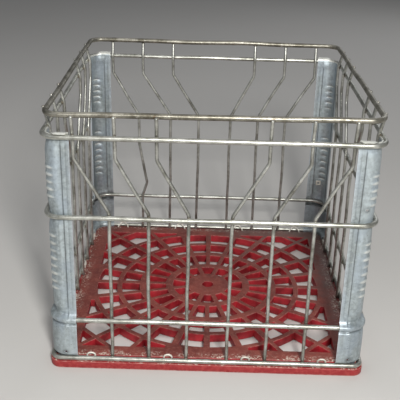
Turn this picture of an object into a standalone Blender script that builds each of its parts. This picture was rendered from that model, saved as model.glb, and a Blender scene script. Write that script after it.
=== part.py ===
"""Square wire crate for milk bottles.

Five round wire hoops are held by twenty-four shaped uprights and four pressed corner posts.
The lowest hoop is stapled round a moulded plastic grille, which is the floor of the crate.
Metres, +Z up. The origin is the middle of the crate's underside, and -Y is the front.
"""
import math

import bmesh
import bpy
from mathutils import Vector

CRATE_NAME = "milk_bottle_crate"
GAP = 0.0003                    # clearance kept between pieces that touch
WELD_DISTANCE = 0.000001

# Hoops. Half widths are measured to the middle of the wire.
HOOP_HALF = 0.1625
HOOP_RADIUS = 0.0025
HOOP_CORNER = 0.016
RIM_HALF = 0.1591
RIM_RADIUS = 0.00275
RIM_CORNER = 0.015
HOOP_CORNER_STEPS = 5
BASE_HOOP_Z = 0.01085
LOWER_HOOP_Z = 0.0574
MIDDLE_HOOP_Z = 0.1742
UPPER_HOOP_Z = 0.2564
RIM_Z = 0.2778

# Uprights. Six a side, each jogged sideways so that the middle of the side is left open.
UPRIGHT_RADIUS = 0.0018
UPRIGHT_PLANE = HOOP_HALF - HOOP_RADIUS - UPRIGHT_RADIUS - GAP
LOW_PITCH = 0.0402                              # spacing below the jog, even across the side
HIGH_FIRST = 0.0534                             # above it, the nearest to the side's middle
HIGH_PITCH = 0.0394                             # and the spacing from there outwards
UPRIGHT_FOOT_Z = 0.0084
JOG_START_Z = 0.178
JOG_END_Z = 0.2346
UPRIGHT_TOP_Z = RIM_Z - 0.0005
UPRIGHT_BEND = 0.007
BEND_STEPS = 2

# Use has pushed the back uprights along their side below the jog, and has bent the last one.
BACK_SHIFTS = (0.0022, -0.0011, -0.0045, -0.0019, -0.0046, -0.0020)
KINK = ((0.0043, 0.0600), (0.0112, 0.0800), (0.0, 0.1380))      # shift inwards and height

# Corner posts, pressed from one sheet each. Offsets are measured outwards from the post's face.
SHEET = 0.0012
POST_CORNER = HOOP_HALF - HOOP_CORNER           # centre of the corner's bends, in x and in y
POST_BEND = HOOP_CORNER - HOOP_RADIUS - GAP     # radius of the post's face round the corner
POST_EDGE = 0.1355                              # free edge of each flange
STEP_OUTER = 0.1430                             # the raised strip ends here
STEP_INNER = 0.1444                             # and the sunk corner panel starts here
STEP_DEPTH = 0.0005
POST_BEND_STEPS = 5
HUG_RADIUS = HOOP_RADIUS + GAP + 0.00015        # of the face, where it runs inside a hoop
WRAP_RADIUS = HUG_RADIUS + SHEET                # and where it runs outside one
LIP_ANGLES = (80, 105, 130, 155, 180)           # over the upper hoop
WRAP_ANGLES = (30, 0, -30, -60)                 # outside the lower hoop
OVER_ANGLES = (105, 130, 155, 180)              # over the base hoop, then down inside it
STEP_TOP_Z = 0.2526
FLARE_Z = 0.0691                                # the flanges start to swell over the lower hoop
CORNER_FLARE_Z = 0.0646
CREASE = (0.0022, 0.0521)                       # offset and height of the groove under that hoop
FOOT_OFFSET = 0.0042
FOOT_BEND = 0.0020
FOOT_BEND_ANGLES = (70, 35, 0)
FOOT_TOP_Z = 0.0495                             # centres of the bends at the foot's ends
FOOT_LOW_Z = 0.0164
POST_BOTTOM_Z = 0.0084

# Round holes in the front posts: how far in from the flange's free edge, and how high.
HOLE_RADIUS = 0.0014
HOLE_SIDES = 10
FOOT_HOLE = (0.0120, 0.0190)
SHAFT_HOLE = (0.0148, 0.1896)

# Staples that hold the base hoop down on the floor.
STAPLE_RADIUS = 0.0009
STAPLE_PLACES = (-0.122, -0.041, 0.041, 0.122)
STAPLE_CROWN = (0.0017, 0.1585, 0.0148)         # half width, distance from the middle, height
STAPLE_KNEE = (0.0041, 0.1585, 0.0128)
STAPLE_END = (0.0042, 0.1585, 0.0084)

# Floor: a ledge under the base hoop, and a raised grille inside it.
LEDGE_HALF = 0.1655
LEDGE_CORNER = 0.018
LEDGE_TOP_Z = BASE_HOOP_Z - HOOP_RADIUS - GAP
LEDGE_INNER = 0.150
GRILLE_HALF = 0.156
GRILLE_CORNER = 0.012
GRILLE_TOP_Z = 0.0109
GRILLE_BOTTOM_Z = 0.001                         # the crate rests on the ledge alone
GRILLE_FIELD = 0.139                            # the openings lie within this half width
CENTRE_HOLE = 0.007
# inner radius, outer radius, number of openings, width of the ribs between them
RINGS = (
    (0.026, 0.043, 12, 0.0055),
    (0.052, 0.076, 24, 0.0050),
    (0.0845, 0.106, 24, 0.0060),
    (0.112, 0.136, 24, 0.0070),
)
FIELD_CIRCLE = 0.142                            # outer edge of the band round the last ring
CORNER_RIB = 0.005
CORNER_ARM = 0.245                              # x + y along the arm that crosses each corner
SLIVER_START = 0.045

SIDES = ("front", "right", "back", "left")
CORNERS = ("front_left", "front_right", "back_right", "back_left")
QUARTER = math.pi / 2

# name: base colour, roughness, metallic
MATERIALS = {
    "rim_wire": ((0.30, 0.27, 0.22), 0.45, 1.0),
    "hoop_wire": ((0.55, 0.53, 0.48), 0.42, 1.0),
    "upright_wire": ((0.50, 0.49, 0.45), 0.42, 1.0),
    "staple_wire": ((0.62, 0.61, 0.58), 0.40, 1.0),
    "post_sheet": ((0.56, 0.60, 0.64), 0.45, 1.0),
    "floor_plastic": ((0.47, 0.08, 0.08), 0.60, 0.0),
}


def clear_scene():
    for thing in list(bpy.data.objects):
        bpy.data.objects.remove(thing, do_unlink=True)


def make_collection(name):
    collection = bpy.data.collections.new(name)
    bpy.context.scene.collection.children.link(collection)
    return collection


def make_materials():
    made = {}
    for name, (colour, roughness, metallic) in MATERIALS.items():
        material = bpy.data.materials.new(name)
        material.use_nodes = True
        shader = material.node_tree.nodes["Principled BSDF"]
        shader.inputs["Base Color"].default_value = (*colour, 1.0)
        shader.inputs["Roughness"].default_value = roughness
        shader.inputs["Metallic"].default_value = metallic
        made[name] = material
    return made


def add_object(name, data, collection, parent=None, turn=0):
    """Puts data in the scene as an object, turned by a number of right angles about +Z."""
    thing = bpy.data.objects.new(name, data)
    collection.objects.link(thing)
    thing.rotation_euler.z = turn * QUARTER
    thing.parent = parent
    return thing


# --- paths ---------------------------------------------------------------------------------

def rounded_square(half, corner, steps):
    """Points round a square, anticlockwise, with each corner an arc."""
    points = []
    for quarter in range(4):
        start = quarter * QUARTER
        middle = start + QUARTER / 2
        centre_x = math.copysign(half - corner, math.cos(middle))
        centre_y = math.copysign(half - corner, math.sin(middle))
        for step in range(steps + 1):
            angle = start + QUARTER * step / steps
            x = centre_x + corner * math.cos(angle)
            y = centre_y + corner * math.sin(angle)
            points.append((x, y))
    return points


def bent_path(corners, radius, steps):
    """The path through corners, with every bend an arc of the given radius."""
    corners = [Vector(corner) for corner in corners]
    points = [corners[0]]
    for before, corner, after in zip(corners, corners[1:], corners[2:]):
        back = (before - corner).normalized()
        ahead = (after - corner).normalized()
        turn = math.pi - back.angle(ahead)
        centre = corner + (back + ahead).normalized() * radius / math.cos(turn / 2)
        start = corner + back * radius * math.tan(turn / 2) - centre
        end = corner + ahead * radius * math.tan(turn / 2) - centre
        for step in range(steps + 1):
            angle = turn * step / steps
            arm = (start * math.sin(turn - angle) + end * math.sin(angle)) / math.sin(turn)
            points.append(centre + arm)
    points.append(corners[-1])
    return points


def upright_lean():
    """Where the upright's lean starts, and how far out its top ends.

    Between the upper hoop and the rim the wire crosses from inside to outside, along the line
    that just clears both of them.
    """
    inner_reach = HOOP_RADIUS + UPRIGHT_RADIUS + GAP
    outer_reach = RIM_RADIUS + UPRIGHT_RADIUS + GAP
    across = RIM_HALF - HOOP_HALF
    up = RIM_Z - UPPER_HOOP_Z
    slant = math.asin((inner_reach + outer_reach) / math.hypot(across, up))
    lean = slant + math.atan2(across, up)
    touch_out = HOOP_HALF - inner_reach * math.cos(lean)
    touch_z = UPPER_HOOP_Z + inner_reach * math.sin(lean)
    start_z = touch_z - (touch_out - UPRIGHT_PLANE) / math.tan(lean)
    top_out = UPRIGHT_PLANE + (UPRIGHT_TOP_Z - start_z) * math.tan(lean)
    return start_z, top_out


# --- wires ---------------------------------------------------------------------------------

def wire_curve(name, path, radius, closed, material):
    """Round wire along a path."""
    curve = bpy.data.curves.new(name, "CURVE")
    curve.dimensions = "3D"
    curve.bevel_depth = radius
    curve.bevel_resolution = 2
    curve.use_fill_caps = not closed
    spline = curve.splines.new("POLY")
    spline.points.add(len(path) - 1)
    for point, place in zip(spline.points, path):
        point.co = (*place, 1.0)
    spline.use_cyclic_u = closed
    spline.use_smooth = True
    curve.materials.append(material)
    return curve


def make_hoop(name, half, corner, radius, height, material, collection, parent):
    outline = rounded_square(half, corner, HOOP_CORNER_STEPS)
    path = [(x, y, 0.0) for x, y in outline]
    curve = wire_curve(name, path, radius, True, material)
    hoop = add_object(name, curve, collection, parent)
    hoop.location.z = height


def upright_corners(number, shift, kinked):
    """The corners of one upright's path on the front side, counted from the side's left."""
    start_z, top_out = upright_lean()
    from_middle = number - 2.5
    low = from_middle * LOW_PITCH
    high = math.copysign(HIGH_FIRST + (abs(from_middle) - 0.5) * HIGH_PITCH, low)
    low += shift
    bends = [(low, UPRIGHT_FOOT_Z)]
    if kinked:
        bends = [(low - KINK[0][0], UPRIGHT_FOOT_Z)] + [(low - push, z) for push, z in KINK]
    bends += [(low, JOG_START_Z), (high, JOG_END_Z), (high, start_z)]
    corners = [(x, -UPRIGHT_PLANE, z) for x, z in bends]
    return corners + [(high, -top_out, UPRIGHT_TOP_Z)]


def make_uprights(materials, collection, parent):
    """Six uprights on each side, numbered from left to right as that side is faced."""
    for turn, side in enumerate(SIDES):
        for number in range(6):
            shift = BACK_SHIFTS[number] if side == "back" else 0.0
            corners = upright_corners(number, shift, side == "back" and number == 5)
            path = bent_path(corners, UPRIGHT_BEND, BEND_STEPS)
            name = f"wire_{side}_{number + 1}"
            curve = wire_curve(name, path, UPRIGHT_RADIUS, False, materials["upright_wire"])
            add_object(name, curve, collection, parent, turn)


def make_staples(materials, collection, parent):
    """Four wire staples on each side. Each stands on the floor's ledge, close inside the hoop."""
    left = [(-half, -out, z) for half, out, z in (STAPLE_END, STAPLE_KNEE, STAPLE_CROWN)]
    right = [(-x, y, z) for x, y, z in reversed(left)]
    for number, place in enumerate(STAPLE_PLACES):
        path = [(x + place, y, z) for x, y, z in left + right]
        curve = wire_curve("staple_shape", path, STAPLE_RADIUS, False, materials["staple_wire"])
        for turn, side in enumerate(SIDES):
            add_object(f"base_staple_{side}_{number + 1}", curve, collection, parent, turn)


# --- corner posts --------------------------------------------------------------------------

def post_columns():
    """The post's section: a centre, an outward angle, and whether it is on the corner panel."""
    columns = []
    for along, sunk in ((POST_EDGE, False), (STEP_OUTER, False), (STEP_INNER, True)):
        columns.append((POST_CORNER, along, 0.0, sunk))
    for step in range(POST_BEND_STEPS + 1):
        angle = QUARTER * step / POST_BEND_STEPS
        columns.append((POST_CORNER, POST_CORNER, angle, True))
    for along, sunk in ((STEP_INNER, True), (STEP_OUTER, False), (POST_EDGE, False)):
        columns.append((along, POST_CORNER, QUARTER, sunk))
    return columns


def arc_rows(offset, height, radius, angles):
    """Offset and height of the post's face along an arc about a point."""
    rows = []
    for degrees in angles:
        angle = math.radians(degrees)
        rows.append((offset + radius * math.cos(angle), height + radius * math.sin(angle)))
    return rows


def post_rows():
    """Offset and height from the foot up to the lip, for the flanges and the corner panel."""
    hoop_offset = HOOP_RADIUS + GAP
    bend_offset = FOOT_OFFSET - FOOT_BEND
    lip = arc_rows(hoop_offset, UPPER_HOOP_Z, HUG_RADIUS, LIP_ANGLES)
    foot = arc_rows(hoop_offset, LOWER_HOOP_Z, WRAP_RADIUS, WRAP_ANGLES) + [CREASE]
    foot += arc_rows(bend_offset, FOOT_TOP_Z, FOOT_BEND, FOOT_BEND_ANGLES)
    foot += arc_rows(bend_offset, FOOT_LOW_Z, FOOT_BEND, [-a for a in reversed(FOOT_BEND_ANGLES)])
    foot += arc_rows(hoop_offset, BASE_HOOP_Z, HUG_RADIUS, OVER_ANGLES)
    foot += [(foot[-1][0], POST_BOTTOM_Z)]
    flange = lip + [(0.0, STEP_TOP_Z), (0.0, FLARE_Z)] + foot
    panel = lip + [(-STEP_DEPTH, STEP_TOP_Z), (-STEP_DEPTH, CORNER_FLARE_Z)] + foot
    return list(zip(reversed(flange), reversed(panel)))


def post_mesh(material):
    """The post's outer face, as a grid bent into the section at every height."""
    columns = post_columns()
    rows = post_rows()
    mesh = bpy.data.meshes.new("post_face")
    shape = bmesh.new()
    bmesh.ops.create_grid(
        shape, x_segments=len(columns) - 1, y_segments=len(rows) - 1, size=0.5)
    for vertex in shape.verts:
        column = columns[round((vertex.co.x + 0.5) * (len(columns) - 1))]
        row = rows[round((vertex.co.y + 0.5) * (len(rows) - 1))]
        centre_x, centre_y, angle, sunk = column
        offset, height = row[1] if sunk else row[0]
        reach = POST_BEND + offset
        vertex.co = (
            centre_x + reach * math.cos(angle), centre_y + reach * math.sin(angle), height)
    shape.to_mesh(mesh)
    shape.free()
    mesh.materials.append(material)
    mesh.shade_smooth()
    return mesh


def hole_cutter(place, mirrored, collection):
    """A cylinder through a front post's front flange."""
    in_from_edge, height = place
    across = (POST_EDGE + in_from_edge) * (-1 if mirrored else 1)
    bpy.ops.mesh.primitive_cylinder_add(
        vertices=HOLE_SIDES, radius=HOLE_RADIUS, depth=0.02,
        location=(across, -HOOP_HALF, height), rotation=(QUARTER, 0.0, 0.0))
    cutter = bpy.context.active_object
    for owner in list(cutter.users_collection):
        owner.objects.unlink(cutter)
    collection.objects.link(cutter)
    cutter.hide_render = True
    cutter.display_type = "WIRE"
    return cutter


def make_posts(materials, collection, cutters, parent):
    mesh = post_mesh(materials["post_sheet"])
    holes = {
        "front_left": [hole_cutter(FOOT_HOLE, True, cutters)],
        "front_right": [
            hole_cutter(FOOT_HOLE, False, cutters), hole_cutter(SHAFT_HOLE, False, cutters)],
    }
    for turn, corner in enumerate(CORNERS):
        post = add_object(f"corner_post_{corner}", mesh, collection, parent, turn + 2)
        solidify = post.modifiers.new("thickness", "SOLIDIFY")
        solidify.thickness = SHEET
        solidify.offset = -1.0
        solidify.use_even_offset = True
        for cutter in holes.get(corner, []):
            boolean = post.modifiers.new("hole", "BOOLEAN")
            boolean.operation = "DIFFERENCE"
            boolean.solver = "EXACT"
            boolean.object = cutter


# --- floor ---------------------------------------------------------------------------------

def arc(radius, start, end, steps):
    points = []
    for step in range(steps + 1):
        angle = start + (end - start) * step / steps
        points.append((radius * math.cos(angle), radius * math.sin(angle)))
    return points


def ring_openings():
    """Openings between the radial ribs, ring by ring. Every rib has parallel sides."""
    outlines = [arc(CENTRE_HOLE, 0.0, 2 * math.pi, 12)[:-1]]
    for inner, outer, count, rib in RINGS:
        half_pitch = math.pi / count
        shift = 0.0 if count == RINGS[0][2] else half_pitch
        inner_half = half_pitch - math.asin(rib / 2 / inner)
        outer_half = half_pitch - math.asin(rib / 2 / outer)
        for number in range(count):
            middle = shift + 2 * half_pitch * number
            outline = arc(outer, middle - outer_half, middle + outer_half, 2)
            outline += arc(inner, middle + inner_half, middle - inner_half, 1)
            outlines.append(outline)
    return outlines


def corner_openings():
    """Openings outside the round field: three shapes, each mirrored into all eight places."""
    half_rib = CORNER_RIB / 2
    skew = half_rib * math.sqrt(2)
    swing = math.asin(half_rib / FIELD_CIRCLE)
    sixty = math.radians(60)
    edge = GRILLE_FIELD
    triangle = [
        (CORNER_ARM + skew - edge, edge),
        (edge - skew, edge),
        (CORNER_ARM / 2, CORNER_ARM / 2 + skew),
    ]
    diamond = arc(FIELD_CIRCLE, sixty - swing, math.pi / 4 + swing, 3)
    diamond += [
        (CORNER_ARM / 2 - skew, CORNER_ARM / 2),
        (CORNER_ARM - skew - edge, edge),
        ((half_rib + edge * math.cos(sixty)) / math.sin(sixty), edge),
    ]
    sliver = arc(FIELD_CIRCLE, math.acos(SLIVER_START / FIELD_CIRCLE), sixty + swing, 2)
    sliver += [
        ((edge * math.cos(sixty) - half_rib) / math.sin(sixty), edge),
        (SLIVER_START, edge),
    ]
    outlines = []
    for outline in (triangle, diamond, sliver):
        for swapped in (outline, [(y, x) for x, y in outline]):
            for sign_x in (-1, 1):
                for sign_y in (-1, 1):
                    outlines.append([(sign_x * x, sign_y * y) for x, y in swapped])
    return outlines


def slab(name, outlines, bottom_z, top_z, collection):
    """A flat plate between two heights. The first outline is its edge and the rest are holes."""
    curve = bpy.data.curves.new(name, "CURVE")
    curve.dimensions = "2D"
    curve.fill_mode = "BOTH"
    curve.extrude = (top_z - bottom_z) / 2
    for outline in outlines:
        spline = curve.splines.new("POLY")
        spline.points.add(len(outline) - 1)
        for point, (x, y) in zip(spline.points, outline):
            point.co = (x, y, 0.0, 1.0)
        spline.use_cyclic_u = True
    drawn = add_object(name + "_outline", curve, collection)
    drawn.location.z = (top_z + bottom_z) / 2
    bpy.context.view_layer.update()
    evaluated = drawn.evaluated_get(bpy.context.evaluated_depsgraph_get())
    mesh = bpy.data.meshes.new_from_object(evaluated)
    shape = bmesh.new()
    shape.from_mesh(mesh)
    bmesh.ops.remove_doubles(shape, verts=shape.verts[:], dist=WELD_DISTANCE)
    # Openings whose edges lie on one line leave slivers in the flat faces. Turning edges cures it.
    flats = [face for face in shape.faces if len({round(v.co.z, 6) for v in face.verts}) == 1]
    flat_edges = {edge for face in flats for edge in face.edges}
    bmesh.ops.beautify_fill(shape, faces=flats, edges=list(flat_edges))
    bmesh.ops.recalc_face_normals(shape, faces=shape.faces[:])
    shape.to_mesh(mesh)
    shape.free()
    plate = add_object(name, mesh, collection)
    plate.matrix_world = drawn.matrix_world.copy()
    bpy.data.objects.remove(drawn, do_unlink=True)
    bpy.data.curves.remove(curve)
    return plate


def make_floor(materials, collection, cutters, parent):
    grille_edge = rounded_square(GRILLE_HALF, GRILLE_CORNER, 4)
    openings = ring_openings() + corner_openings()
    grille = slab(
        "base_panel", [grille_edge] + openings, GRILLE_BOTTOM_Z, GRILLE_TOP_Z, collection)
    ledge_edge = rounded_square(LEDGE_HALF, LEDGE_CORNER, 5)
    ledge_hole = rounded_square(LEDGE_INNER, GRILLE_CORNER, 4)
    ledge = slab("ledge", [ledge_edge, ledge_hole], 0.0, LEDGE_TOP_Z, cutters)
    ledge.hide_render = True
    ledge.display_type = "WIRE"
    union = grille.modifiers.new("ledge", "BOOLEAN")
    union.operation = "UNION"
    union.solver = "EXACT"
    union.object = ledge
    grille.parent = parent
    grille.data.materials.append(materials["floor_plastic"])


def main():
    clear_scene()
    parts = make_collection(CRATE_NAME)
    cutters = make_collection("cutters")
    materials = make_materials()
    crate = add_object("crate", None, parts)

    for name, height in (
            ("base_hoop", BASE_HOOP_Z), ("lower_hoop", LOWER_HOOP_Z),
            ("middle_hoop", MIDDLE_HOOP_Z), ("upper_hoop", UPPER_HOOP_Z)):
        make_hoop(
            name, HOOP_HALF, HOOP_CORNER, HOOP_RADIUS, height, materials["hoop_wire"], parts, crate)
    make_hoop(
        "rim_hoop", RIM_HALF, RIM_CORNER, RIM_RADIUS, RIM_Z, materials["rim_wire"], parts, crate)
    make_uprights(materials, parts, crate)
    make_posts(materials, parts, cutters, crate)
    make_staples(materials, parts, crate)
    make_floor(materials, parts, cutters, crate)


main()
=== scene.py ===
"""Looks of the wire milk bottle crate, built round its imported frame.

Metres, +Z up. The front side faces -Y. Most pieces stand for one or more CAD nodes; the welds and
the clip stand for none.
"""
import math

import bmesh
import bpy
import numpy as np
from mathutils import Matrix, Vector, noise


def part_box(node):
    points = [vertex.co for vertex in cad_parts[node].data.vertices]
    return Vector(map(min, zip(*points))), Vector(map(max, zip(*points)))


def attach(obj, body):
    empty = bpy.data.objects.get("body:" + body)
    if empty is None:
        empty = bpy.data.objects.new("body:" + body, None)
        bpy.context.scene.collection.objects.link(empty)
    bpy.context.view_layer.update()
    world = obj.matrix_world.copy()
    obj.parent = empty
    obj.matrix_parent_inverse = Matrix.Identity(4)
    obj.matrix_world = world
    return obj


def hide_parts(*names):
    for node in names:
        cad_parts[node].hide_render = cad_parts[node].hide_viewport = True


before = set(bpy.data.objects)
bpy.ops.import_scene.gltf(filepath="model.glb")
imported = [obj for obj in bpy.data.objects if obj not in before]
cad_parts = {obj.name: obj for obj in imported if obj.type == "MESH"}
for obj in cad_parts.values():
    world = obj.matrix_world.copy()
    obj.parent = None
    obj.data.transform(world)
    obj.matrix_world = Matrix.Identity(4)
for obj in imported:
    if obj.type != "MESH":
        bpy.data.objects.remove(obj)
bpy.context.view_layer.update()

SIDES = ("front", "right", "back", "left")
CORNERS = ("front_left", "front_right", "back_right", "back_left")
QUARTER = math.pi / 2

# Wires. The hoops' places come from the CAD boxes. The other dimensions, here and below, start
# from the CAD's, and some of them depart from it by up to a few millimetres.
# Half widths are measured to the middle of the wire.
HOOP_RADIUS = 0.0025
RIM_RADIUS = 0.00275
HOOP_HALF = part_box("upper_hoop")[1].x - HOOP_RADIUS
RIM_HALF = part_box("rim_hoop")[1].x - RIM_RADIUS
HOOP_CORNER = 0.016
BASE_CORNER = 0.009  # bent sharper than the rest, and sharper than in the CAD
RIM_CORNER = 0.015
LOWER_CORNER = 0.022  # rounder than in the CAD: the posts are wrapped outside this hoop
GAP = 0.0003  # the CAD's clearance between pieces that touch
RIM_LIFTS = (-0.0006, 0.0020, -0.0009, 0.0)  # how use has bent the rim, corner by corner
# How far each hoop wanders from its line. It keeps to its line round the corners, where both
# x and y are further out than STRAIGHT_FROM.
SWAY = {"rim": 0.0011, "upper": 0.0006, "middle": 0.0006, "lower": 0.0006, "base": 0.0003}
STRAIGHT_FROM = 0.130
# Each hoop's butt weld: x, and the side it is on, -1 for the front and 1 for the back.
SEAMS = {"rim": (0.024, 1), "upper": (0.024, 1), "middle": (0.024, 1),
         "lower": (0.024, -1), "base": (-0.0026, -1)}
SEAM_SWELLING = 0.13  # share of the wire's radius
SEAM_REACH = 0.0030


def hoop_height(name):
    low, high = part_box(name)
    return (low.z + high.z) / 2


BASE_Z = hoop_height("base_hoop")
LOWER_Z = hoop_height("lower_hoop")
MIDDLE_Z = hoop_height("middle_hoop")
UPPER_Z = hoop_height("upper_hoop")
RIM_Z = hoop_height("rim_hoop")

# Uprights. Six a side, each jogged sideways so that the middle of the side is left open.
UPRIGHTS = 6
UPRIGHT_RADIUS = 0.0018
UPRIGHT_PRESS = 0.0005  # the welds press the uprights this far into the hoops
UPRIGHT_PLANE = HOOP_HALF - HOOP_RADIUS - UPRIGHT_RADIUS - GAP + UPRIGHT_PRESS
LOW_PITCH = 0.0402  # spacing below the jog
HIGH_FIRST = 0.0534  # above it, the nearest to the side's middle
HIGH_PITCH = 0.0394  # and the spacing from there outwards
UPRIGHT_FOOT_Z = 0.0089
JOG_START_Z = 0.178
JOG_END_Z = 0.2346
UPRIGHT_BEND = 0.009
# Use has bent the last upright of the back: shift inwards and height at each bend.
KINK = ((0.0043, 0.0600), (0.0112, 0.0800), (0.0, 0.1380))
# How far each upright stands off its even spacing below the jog.
SHIFTS = {
    "front": (0.0010, -0.0006, -0.0016, 0.0009, 0.0012, 0.0009),
    "right": (0.0004, -0.0009, 0.0012, 0.0003, -0.0010, 0.0006),
    "back": (0.0022, -0.0011, -0.0045, -0.0019, -0.0046, -0.0020),
    "left": (-0.0008, 0.0005, 0.0011, -0.0012, 0.0004, -0.0006),
}
WAVER = (0.0011, 0.0007)  # how far an upright wavers along and across the side
WAVER_RATE = 22
HELD_WITHIN = 0.030  # of a hoop, where it wavers less
# Lumps of weld metal: half sizes along, across and up the side.
HOOP_LUMP = (0.0021, 0.0009, 0.0019)
RIM_LUMP = (0.0022, 0.0010, 0.0017)
BIG_LUMP = 1.5  # the last of the front stands out on the rim
WELD_REACH = 0.0042  # rust spreads this far along an upright
HOOP_WELD_REACH = 0.0040
STAPLE_WELD_REACH = 0.0022

# Corner posts, pressed from one sheet each. Offsets are measured outwards from the post's face.
SHEET = 0.0012
POST_CORNER = HOOP_HALF - HOOP_CORNER  # centre of the corner's bend, in x and in y
POST_BEND = HOOP_CORNER - HOOP_RADIUS - GAP  # radius of the post's face round the corner
HOOP_OFFSET = HOOP_RADIUS + GAP  # of the middle of a hoop's wire
POST_EDGE = 0.1355  # free edge of each flange
STEP_OUTER = 0.1430  # the raised strip ends here
STEP_LINE = 0.1438
STEP_INNER = 0.1444  # and the sunk corner panel starts here
STEP_DEPTH = 0.0006
POST_PRESS = 0.0005  # the welds press the posts this far into the hoops
BEAD_ALONG = 0.1392  # a fine line down the raised strip
BEAD_DEPTH = 0.00022
HUG_RADIUS = HOOP_RADIUS + 0.0002  # of the face, where it runs inside a hoop
WRAP_RADIUS = HOOP_RADIUS + SHEET + 0.0001  # and where it runs outside one
WRAP_TUCK = 0.0017  # round the corner the wrap lies this much further in
LIP_RISE = 0.0012  # the lip arches this much higher than the hoop
LIP_TURN = 136  # degrees the lip turns, from inside the hoop
LIP_NOTCH = 104  # and how much less it turns on the left and right sides
LIP_CUT = 45  # and at its free corners
LIP_CUT_WIDTH = 0.0035
LIP_RAG = 9  # its edge is uneven by this many degrees
LIP_LEAST = 20
LIP_FADE = 0.45  # radians round the corner, over which it comes down to that
BULGE = {"front_left": 0.0014, "front_right": 0.0007, "back_right": 0.0003, "back_left": 0.0003}
DENTS = 0.00028  # depth
STEP_TOP_Z = 0.2526
SHAFT_END = (0.246, 0.251)  # the shaft's wear fades out between these heights
FLARE_Z = 0.0668  # the flanges start to swell over the lower hoop
CORNER_FLARE_Z = 0.0632
FLARE_EASE = 2.1
CREASE = (0.0022, 0.0521)  # offset and height of the groove under that hoop
CREASE_SAG = 0.0007
CREASE_RIPPLE = 0.0004
FOOT_OFFSET = 0.0042
FOOT_BEND = 0.0020
FOOT_TOP_Z = 0.0495  # centres of the bends at the foot's ends
FOOT_LOW_Z = 0.0164
POST_BOTTOM_Z = 0.0084
# Pressed ribs: heights of the first and the last of a group, and their spacing.
RIB_GROUPS = ((0.1944, 0.2248, 0.0076), (0.0928, 0.1522, 0.00849))
RIB_HEIGHT = 0.0019
# Round holes in the front posts: how far in from the flange's free edge, and how high.
HOLE_RADIUS = 0.0014
FOOT_HOLE = (0.0120, 0.0190)
SHAFT_HOLE = (0.0148, 0.1896)

# A square clip on the inner face of one post.
TAB_SIZE = 0.0066
TAB_HOLE = 0.0014
TAB_PLACE = (0.1500, 0.1568, 0.0870)
TAB_THICKNESS = 0.0012

# Staples. Half width, distance from the crate's middle and height, from a leg's end to the crown.
# The back side's are splayed, where the CAD's stand upright.
STAPLE_RADIUS = 0.00095
STAPLE_BEND = 0.0030
STAPLE_SLIDE = 0.0006  # each stands this far off its place, at most
STAPLE_PLACES = (-0.122, -0.041, 0.041, 0.122)
STAPLE = ((0.0042, 0.1585, 0.0082), (0.0042, 0.1585, 0.0130), (0.0021, 0.1585, 0.0150))
BACK_STAPLE = ((0.0069, 0.1545, 0.0107), (0.0064, 0.1551, 0.0130), (0.0018, 0.1590, 0.0167))

# Floor: a ledge under the base hoop, and a raised grille inside it.
LEDGE_HALF = 0.1655
LEDGE_CORNER = 0.012  # sharper than in the CAD
LEDGE_TOP_Z = BASE_Z - HOOP_RADIUS - GAP
LEDGE_INNER = 0.150
GRILLE_HALF = 0.156
GRILLE_CORNER = 0.012
GRILLE_TOP_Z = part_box("base_panel")[1].z
GRILLE_BOTTOM_Z = 0.001
GRILLE_FIELD = 0.139  # the openings lie within this half width
CENTRE_HOLE = 0.007
# inner radius, outer radius, number of openings, width of the ribs between them
RINGS = (
    (0.026, 0.043, 12, 0.0055),
    (0.052, 0.076, 24, 0.0050),
    (0.0845, 0.106, 24, 0.0060),
    (0.112, 0.136, 24, 0.0070),
)
FIELD_CIRCLE = 0.142  # outer edge of the band round the last ring
CORNER_RIB = 0.005
CORNER_ARM = 0.245  # x + y along the arm that crosses each corner
SLIVER_START = 0.045
EDGE_ROUND = 0.0005

# Looks of the wires. Pale, dull and grime colours as display values of 0 to 255, and then the
# share of rust at the welds, metallic and roughness.
WIRE_LOOKS = {
    "rim_zinc": ((162, 159, 148), (92, 88, 76), (56, 48, 36), 0.50, 0.86, 0.42),
    "hoop_zinc": ((204, 205, 198), (140, 140, 131), (84, 80, 66), 0.40, 0.82, 0.40),
    "upright_zinc": ((202, 203, 197), (128, 127, 119), (72, 66, 52), 0.55, 0.84, 0.40),
    "weld_metal": ((176, 170, 154), (104, 92, 76), (78, 60, 44), 0.0, 0.30, 0.62),
    "staple_zinc": ((232, 228, 218), (196, 190, 178), (140, 124, 106), 0.20, 0.25, 0.50),
}
SHEET_METALLIC = 0.50

# Stage. Lights: place, size, watts and colour. All of them aim at one point of the crate.
LIGHT_TARGET = (0.0, 0.0, 0.12)
LIGHTS = {
    "key": ((0.15, -1.02, 0.78), 0.18, 14.5, (1.0, 0.985, 0.96)),
    "overhead": ((-0.2, 0.2, 1.7), 1.2, 5.5, (1.0, 1.0, 1.0)),
    "back_fill": ((0.9, 1.6, 1.1), 1.2, 4.0, (0.97, 0.98, 1.0)),
    "left_fill": ((-1.3, -1.0, 0.9), 0.7, 1.6, (0.93, 0.97, 1.0)),
}
WORLD_COLOUR = (0.80, 0.82, 0.85, 1.0)
WORLD_STRENGTH = 0.18
FLOOR_REACH = 6.0
FLOOR_TONES = ((196, 194, 190), (201, 199, 196))

# Camera: where it stands, and its turn in radians about its three axes.
CAMERA_PLACE = (-0.0068, -0.8449, 0.4992)
CAMERA_YAW = 0.0066
CAMERA_PITCH = 0.4170
CAMERA_ROLL = 0.0266
CAMERA_LENS = 70.10
CAMERA_SENSOR = 36.0


# --- small helpers ---

def linear(red, green, blue):
    """A scene colour from display values of 0 to 255."""
    return tuple(((c / 255 + 0.055) / 1.055) ** 2.4 for c in (red, green, blue)) + (1.0,)


def add_object(name, data):
    made = bpy.data.objects.new(name, data)
    bpy.context.scene.collection.objects.link(made)
    return made


def add_boolean(piece, operation, other):
    boolean = piece.modifiers.new(other.name, "BOOLEAN")
    boolean.operation = operation
    boolean.solver = "EXACT"
    boolean.object = other


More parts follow.
